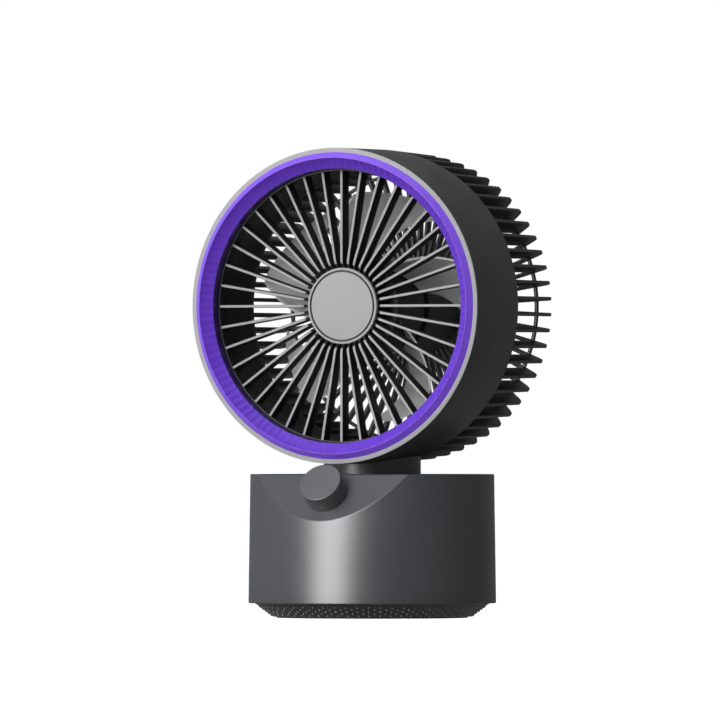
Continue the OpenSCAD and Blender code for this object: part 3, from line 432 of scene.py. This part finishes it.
# The chamfer's lighter violet is a painted highlight.
chamfer_painted_highlight = nodes.new("ShaderNodeMix")
chamfer_painted_highlight.data_type = "RGBA"
chamfer_painted_highlight.inputs["B"].default_value = (0.23, 0.105, 0.8, 1)
links.new(rim.outputs["Result"], chamfer_painted_highlight.inputs["Factor"])
links.new(violet.outputs["Color"], chamfer_painted_highlight.inputs["A"])
depth = nodes.new("ShaderNodeMapRange")
depth.inputs["From Min"].default_value = (cone_y - 0.3) * mm
depth.inputs["From Max"].default_value = (cone_y + 0.5) * mm
links.new(axes.outputs["Y"], depth.inputs["Value"])
# Behind the inner cone the colour turns dark: painted shade in the recess.
inner_wall_painted_shade = nodes.new("ShaderNodeMix")
inner_wall_painted_shade.data_type = "RGBA"
inner_wall_painted_shade.inputs["B"].default_value = (0.03, 0.017, 0.1, 1)
links.new(depth.outputs["Result"], inner_wall_painted_shade.inputs["Factor"])
links.new(chamfer_painted_highlight.outputs["Result"], inner_wall_painted_shade.inputs["A"])
links.new(inner_wall_painted_shade.outputs["Result"], shader.inputs["Base Color"])
glow = nodes.new("ShaderNodeMix")
glow.data_type = "RGBA"
glow.inputs["A"].default_value = (0.28, 0.06, 1, 1)
glow.inputs["B"].default_value = (0.03, 0.01, 0.12, 1)
links.new(depth.outputs["Result"], glow.inputs["Factor"])
links.new(glow.outputs["Result"], shader.inputs["Emission Color"])

bm = bmesh.new()
diagonal = lit_wall * math.sqrt(2)
turn(bm, [(lit_r, lip_front, 0), (ridge_r, ridge_y, 0.25), (duct_r, cone_y, 0.2),
          (duct_r, duct_front, 0), (duct_r + lit_wall, duct_front, 0),
          (duct_r + lit_wall, cone_y + diagonal - lit_wall, 0), (ridge_r, ridge_y + diagonal, 0),
          (ridge_r + lip_front - ridge_y - diagonal, lip_front, 0)],
     "Y", hub, steps=prisms * 4)
# The inner cone is cut in two bands so that the prisms rise between its edges
for part in (0.12, 0.88):
    band = Vector((ridge_r + (duct_r - ridge_r) * part, ridge_y + (cone_y - ridge_y) * part)) * mm
    bmesh.ops.bisect_plane(bm, geom=bm.verts[:] + bm.edges[:] + bm.faces[:],
                           plane_co=(0, band.y, head_z), plane_no=(0, 1, 0))
for v in bm.verts:
    out = Vector((v.co.x, 0, v.co.z - head_z))
    radius = out.length / mm
    cone_here = ridge_y + (ridge_r - radius)
    if duct_r + 0.3 < radius < ridge_r - 0.3 and abs(v.co.y / mm - cone_here) < 0.02:
        wave = math.cos(prisms * math.atan2(out.z, out.x))
        shift = prism_depth * (0.5 - 0.5 * wave) * mm
        v.co += (out.normalized() + Vector((0, 1, 0))).normalized() * shift
lit_ring = make(bm, "lit_ring", lit_violet, "head")
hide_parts("light_ring")

# ---------------------------------------------------------------- front grille
# Radial plates, moulded dark grey in one piece with a rim and a hub cup. Their
# front edges are printed light grey, up to where they curve back round the badge.
grille_front, spoke_depth, spoke_w = -36.2, 7.5, 1.45
grille_back = grille_front + spoke_depth
spokes = 40
badge_r = 19.3
bend_r, bend = badge_r + 4.7, 5.0
cup_r, cup_floor = badge_r - 1.9, grille_front + 3
rim_t, rim_front, rim_back = 1, grille_front - 0.1, grille_back + 0.3
grille_dark = grained("grille dark", (0.02, 0.02, 0.021), (0.03, 0.03, 0.031), 0.5, 0.5, 0.01)
grille_dark.node_tree.nodes["Principled BSDF"].inputs["Specular IOR Level"].default_value = 0.2


def around(bm, copies, first=0.0):
    """Repeats everything in a bmesh at equal angles round the head's axis."""
    pattern = bm.verts[:] + bm.edges[:] + bm.faces[:]
    if first:
        bmesh.ops.rotate(bm, verts=bm.verts, cent=hub, matrix=Matrix.Rotation(first, 3, "Y"))
    for k in range(1, copies):
        copy = bmesh.ops.duplicate(bm, geom=pattern)
        bmesh.ops.rotate(bm, verts=[g for g in copy["geom"] if isinstance(g, bmesh.types.BMVert)],
                         cent=hub, matrix=Matrix.Rotation(k * math.tau / copies, 3, "Y"))


def plate(bm, outline, thickness, edge):
    """A radial plate standing up from the head's axis, outline in (radius, place) mm."""
    verts = [bm.verts.new(Vector((-thickness / 2, p[1], p[0])) * mm + Vector(hub)) for p in outline]
    face = bm.faces.new(verts)
    grown = bmesh.ops.extrude_face_region(bm, geom=[face])
    bmesh.ops.translate(bm, vec=(thickness * mm, 0, 0),
                        verts=[g for g in grown["geom"] if isinstance(g, bmesh.types.BMVert)])
    bmesh.ops.recalc_face_normals(bm, faces=bm.faces)
    long_edges = [e for e in bm.edges if abs(e.verts[0].co.x - e.verts[1].co.x) < 1e-7]
    bmesh.ops.bevel(bm, geom=long_edges, offset=edge * mm, offset_type="OFFSET", affect="EDGES",
                    segments=2, profile=0.5, material=-1, clamp_overlap=True)


front_curve = [(bend_r - bend * math.sin(math.radians(t)),
                grille_front + bend * (1 - math.cos(math.radians(t)))) for t in range(0, 61, 10)]
bm = bmesh.new()
plate(bm, [(cup_r - 2, grille_back), (duct_r - 0.5, grille_back), (duct_r - 0.5, grille_front)]
      + front_curve + [(cup_r - 2, grille_front + 2.8)], spoke_w, 0.22)
around(bm, spokes)
turn(bm, [(duct_r, rim_front, 0.2), (duct_r, rim_back, 0), (duct_r - rim_t, rim_back, 0),
          (duct_r - rim_t, rim_front, 0.3)], "Y", hub, steps=240)
turn(bm, [(cup_r, cup_floor, 0.4), (cup_r, rim_back, 0.5), (0, rim_back, 0), (0, cup_floor, 0)],
     "Y", hub, steps=96, closed=False)
grille = make(bm, "grille_plates", grille_dark, "head")
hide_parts("front_grille")

print_t = 0.1
bm = bmesh.new()
front_edge = [(duct_r - 0.7, grille_front)] + front_curve[:4]
ahead = [(r, y - 0.03) for r, y in front_edge]
behind = [(r, y + print_t) for r, y in reversed(front_edge)]
plate(bm, ahead + behind, spoke_w - 0.25, 0.02)
around(bm, spokes)
make(bm, "grille_print", trim_grey, "head")

# ---------------------------------------------------------------- badge
# A plain light grey disc pressed into the grille's hub cup, with one thin
# groove near its edge, whose faces are coloured dark as painted shade.
bm = bmesh.new()
badge_front, badge_t = grille_front + 0.8, 1.6
groove_in, groove_out, groove_floor, groove_draft = 17.15, 18.15, badge_front + 0.9, 0.1
turn(bm, [(0, badge_front, 0), (groove_in, badge_front, 0.12),
          (groove_in + groove_draft, groove_floor, 0), (groove_out - groove_draft, groove_floor, 0),
          (groove_out, badge_front, 0.12), (badge_r, badge_front, 0.3),
          (badge_r, badge_front + badge_t, 0), (0, badge_front + badge_t, 0)],
     "Y", hub, steps=128, closed=False)
badge = make(bm, "badge", trim_grey, "head")
# The groove's faces take the dark grille finish: painted shade in the groove.
badge.data.materials.append(grille_dark)
for face in badge.data.polygons:
    reach = math.hypot(face.center.x, face.center.z - head_z) / mm
    if groove_in < reach < groove_out and face.center.y / mm > badge_front + groove_draft:
        face.material_index = 1
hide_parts("hub_badge")

# ---------------------------------------------------------------- motor
# Outer rotor motor: cast mount with two bearings, wound stator, driver board,
# steel bell with its magnets on the shaft.
cast_aluminium = grained("cast aluminium", (0.4, 0.4, 0.42), (0.55, 0.55, 0.57), 0.42, 0.8, 0.02)
cast_aluminium.node_tree.nodes["Principled BSDF"].inputs["Metallic"].default_value = 1
copper_wire = grained("copper wire", (0.32, 0.12, 0.04), (0.5, 0.22, 0.08), 0.35, 0.35, 0.05)
paint(cast_aluminium, "motor_mount")
paint(copper_wire, "motor_stator")

# ---------------------------------------------------------------- impeller
# Five swept, twisted blades, satin grey, moulded on a cup-shaped hub coloured black as painted shade.
# The blades' front edges lead at the hub and trail back to round tips.
impeller_grey = grained("impeller grey", (0.8, 0.8, 0.8), (0.92, 0.92, 0.92), 0.42, 0.5, 0.02,
                        spread=0.03)
blade_count = 5
blade_hub_r, blade_tip_r = 23.2, 58.5
blade_t, camber, tip_round = 1.3, 2.2, 1.2
cup_outer, cup_inner, cup_front, cup_back = 24.0, 22.4, -18.5, 12.0
cup_skin, boss_r, shaft_r, boss_back = 1.6, 5.0, 1.6, -8.0


def blade_place(span, chord):
    """Where a blade's middle surface is: span 0 at the hub, chord 0 at the front edge."""
    round_off = max(0.0, abs(2 * chord - 1) - 0.55) / 0.45
    tip = blade_tip_r - tip_round * round_off ** 2.6
    radius = blade_hub_r + (tip - blade_hub_r) * span
    front_a = 194 - 27.3 * span
    rear_a = 160 - 40 * span ** 1.5
    angle = math.radians(front_a + (rear_a - front_a) * chord)
    front_y = -14.5 + 3.9 * span
    rear_y = 8 + 7.9 * span
    along = front_y + (rear_y - front_y) * chord + camber * 4 * chord * (1 - chord)
    return Vector((radius * math.cos(angle), along, radius * math.sin(angle))) * mm + Vector(hub)


bm = bmesh.new()
grid = bmesh.ops.create_grid(bm, x_segments=22, y_segments=26, size=0.5)
for v in grid["verts"]:
    v.co = blade_place(v.co.x + 0.5, v.co.y + 0.5)
bmesh.ops.solidify(bm, geom=bm.faces[:], thickness=blade_t * mm)
bmesh.ops.recalc_face_normals(bm, faces=bm.faces)
rim_edges = [e for e in bm.edges if len(e.link_faces) == 2 and e.calc_face_angle(0) > 1.0]
bmesh.ops.bevel(bm, geom=rim_edges, offset=0.4 * mm, offset_type="OFFSET", affect="EDGES",
                segments=2, profile=0.5, material=-1, clamp_overlap=True)
around(bm, blade_count)
turn(bm, [(shaft_r, cup_front, 0), (cup_outer, cup_front, 1.2), (cup_outer, cup_back, 0.4),
          (cup_inner, cup_back, 0.4), (cup_inner, cup_front + cup_skin, 0),
          (boss_r, cup_front + cup_skin, 0), (boss_r, boss_back, 0), (shaft_r, boss_back, 0)],
     "Y", hub, steps=128)
impeller = make(bm, "impeller_blades", impeller_grey, "rotor")
# The hub's faces take the black finish: painted shade on a hub of the blades' grey.
impeller.data.materials.append(moulded_black)
for face in impeller.data.polygons:
    if math.hypot(face.center.x, face.center.z - head_z) / mm < cup_outer + 0.05:
        face.material_index = 1
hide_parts("impeller")

# ---------------------------------------------------------------- rear cage
# Deep radial fins behind the drum that turn over the back as ribs and meet at
# the motor pedestal, tied by one hoop. Black, moulded in one piece.
cage_black = grained("cage black", (0.036, 0.036, 0.037), (0.05, 0.05, 0.051), 0.42, 0.5, 0.015)
fins, fin_t, fin_l = 60, 1.8, 46.5
dome_h, rib_depth, corner_r = 5.5, 4.5, 4.5
fin_taper = 1.5
fin_in = duct_r + 0.4
fin_back = drum_back + fin_l
dome_r = drum_r - fin_taper - corner_r
hoop_t, hoop_l = 1.7, 2.2
pedestal_r, pedestal_wall, pedestal_y = 25.0, 2.4, 16.0
bore_r = 5.1


def dome(radius):
    """Place of the cage's bulged rear face at a radius."""
    return fin_back + dome_h * (1 - (radius / dome_r) ** 2)


corner = [(dome_r + corner_r * math.cos(math.radians(t)),
           fin_back - corner_r + corner_r * math.sin(math.radians(t))) for t in range(0, 91, 15)]
stations = [fin_in - k * (fin_in - pedestal_r + 1) / 6 for k in range(7)]
fin_outline = ([(fin_in, drum_back + 0.02), (drum_r, drum_back + 0.02)] + corner
               + [(r, dome(r)) for r in stations]
               + [(r, dome(r) - rib_depth) for r in reversed(stations)])
bm = bmesh.new()
plate(bm, fin_outline, fin_t, 0.3)
around(bm, fins, first=math.pi / fins)
turn(bm, [(skirt_r, duct_back, 0), (skirt_r, drum_back + 0.6, 0.2),
          (duct_r, drum_back + 0.6, 0.2), (duct_r, duct_back, 0)], "Y", hub, steps=192)
hoop_r, hoop_back = fin_in + 0.1, fin_back - 0.3
turn(bm, [(hoop_r, hoop_back - hoop_l, 0.4), (hoop_r, hoop_back, 0.4),
          (hoop_r - hoop_t, hoop_back, 0.4), (hoop_r - hoop_t, hoop_back - hoop_l, 0.4)],
     "Y", hub, steps=192)
pedestal_in, pedestal_back = pedestal_r - pedestal_wall, dome(pedestal_r) - 0.3
turn(bm, [(bore_r, pedestal_y, 0), (pedestal_r, pedestal_y, 0.8), (pedestal_r, pedestal_back, 0.4),
          (pedestal_in, pedestal_back, 0.4), (pedestal_in, pedestal_y + pedestal_wall, 0.5),
          (bore_r, pedestal_y + pedestal_wall, 0)], "Y", hub, steps=128)
cage = make(bm, "cage_fins", cage_black, "head")
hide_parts("rear_cage")

bm = bmesh.new()
cap_r, cap_back = 22.45, dome(0)
line_in, line_out, line_floor = 18.1, 18.9, cap_back - 2.3
snap_r, snap_front = cap_r - 3, cap_back - 12
turn(bm, [(0, cap_back, 0), (8, cap_back - 0.36, 0), (line_in - 0.2, cap_back - 1.8, 0.1),
          (line_in, line_floor, 0), (line_out, line_floor, 0), (line_out + 0.2, cap_back - 2.05, 0.1),
          (cap_r, cap_back - 2.8, 0.5), (cap_r, cap_back - 3.2, 0), (snap_r, snap_front, 0),
          (0, snap_front, 0)], "Y", hub, steps=128, closed=False)
cap = make(bm, "cage_cap", cage_black, "head")
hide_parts("rear_cap")

# ---------------------------------------------------------------- studio
# A pale floor, a broad soft light above, a tall strip at the front left that
# draws the bright band down the base, and a soft front fill.
scene = bpy.context.scene
scene.view_settings.view_transform = "Standard"
floor_pale = bpy.data.materials.new("floor pale")
floor_pale.use_nodes = True
floor_shader = floor_pale.node_tree.nodes["Principled BSDF"]
floor_shader.inputs["Base Color"].default_value = (0.3, 0.3, 0.3, 1)
floor_shader.inputs["Roughness"].default_value = 0.9
floor_shader.inputs["Specular IOR Level"].default_value = 0.0
floor_shader.inputs["Emission Color"].default_value = (1, 1, 1, 1)
floor_shader.inputs["Emission Strength"].default_value = 0.98
bm = bmesh.new()
bmesh.ops.create_grid(bm, x_segments=1, y_segments=1, size=15)
floor_mesh = bpy.data.meshes.new("floor")
bm.to_mesh(floor_mesh)
bm.free()
floor_mesh.materials.append(floor_pale)
floor = bpy.data.objects.new("floor", floor_mesh)
scene.collection.objects.link(floor)
floor.visible_diffuse = False
floor.visible_glossy = False
floor.visible_shadow = False

world = bpy.data.worlds.new("studio")
scene.world = world
world.use_nodes = True
sky = world.node_tree.nodes["Background"]
sky.inputs["Color"].default_value = (1, 1, 1, 1)
sky.inputs["Strength"].default_value = 0.17
seen = world.node_tree.nodes.new("ShaderNodeBackground")
seen.inputs["Color"].default_value = (1, 1, 1, 1)
seen.inputs["Strength"].default_value = 1.0
pick = world.node_tree.nodes.new("ShaderNodeMixShader")
ray = world.node_tree.nodes.new("ShaderNodeLightPath")
links = world.node_tree.links
links.new(ray.outputs["Is Camera Ray"], pick.inputs["Fac"])
links.new(sky.outputs["Background"], pick.inputs[1])
links.new(seen.outputs["Background"], pick.inputs[2])
links.new(pick.outputs["Shader"], world.node_tree.nodes["World Output"].inputs["Surface"])


def softbox(name, azimuth, elevation, distance, width, height, power, height_of_aim=0.12):
    """A rectangular light aimed at the fan. Azimuth 0 is the front, positive to the right."""
    data = bpy.data.lights.new(name, "AREA")
    data.shape = "RECTANGLE"
    data.size = width
    data.size_y = height
    data.energy = power
    light = bpy.data.objects.new(name, data)
    a, e = math.radians(azimuth), math.radians(elevation)
    middle = Vector((0, 0, height_of_aim))
    light.location = middle + distance * Vector(
        (math.sin(a) * math.cos(e), -math.cos(a) * math.cos(e), math.sin(e)))
    light.rotation_euler = (middle - light.location).to_track_quat("-Z", "Y").to_euler()
    scene.collection.objects.link(light)
    return light


softbox("overhead", -20, 80, 1.5, 1.4, 1.4, 8)
softbox("front fill", -10, 22, 2.2, 1.2, 1.0, 28)
left_fill = softbox("left fill", -75, 15, 1.8, 0.9, 1.2, 14)
left_fill.visible_glossy = False
strip = softbox("left strip", -14.5, 0, 1.6, 0.85, 1.6, 62)
strip.visible_diffuse = False
